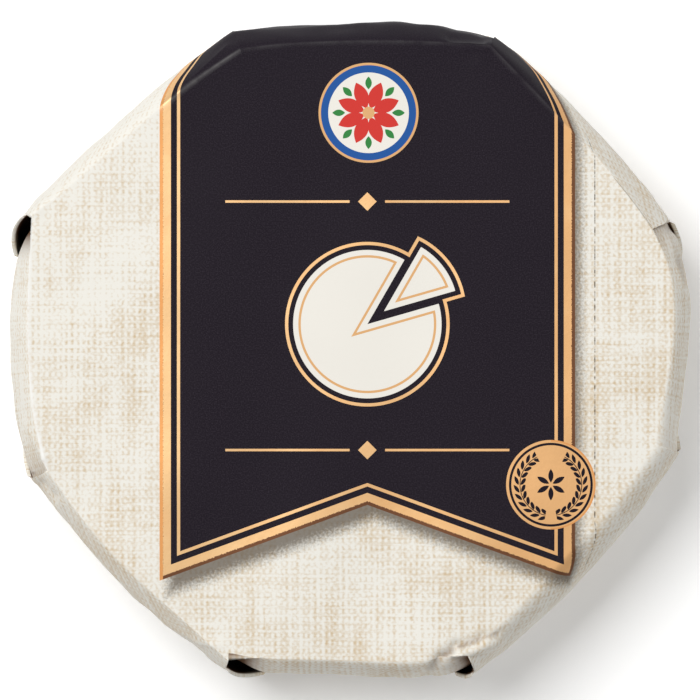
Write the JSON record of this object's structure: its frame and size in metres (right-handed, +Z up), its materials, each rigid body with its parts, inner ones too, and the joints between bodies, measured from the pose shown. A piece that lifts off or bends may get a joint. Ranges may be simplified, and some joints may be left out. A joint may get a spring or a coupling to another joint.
{
  "type": "paper-wrapped brie round",
  "caption": "Small round of soft cheese shut in a folded printed paper wrap, with eight side panels, pleated corners and a banner across its top face",
  "frame": {"origin": "middle of the underside, on the surface that the pack lies on", "axes": "+Z up through the two flat faces, +Y to the top of the printed face, +X to its right"},
  "size_m": [0.0856, 0.082, 0.024],
  "materials": {
    "printed_paper": "coated wrapping paper printed with a linen weave and a black and gold banner"
  },
  "bodies": {
    "root": {"wrapped_round": "printed_paper"}
  },
  "joints": []
}
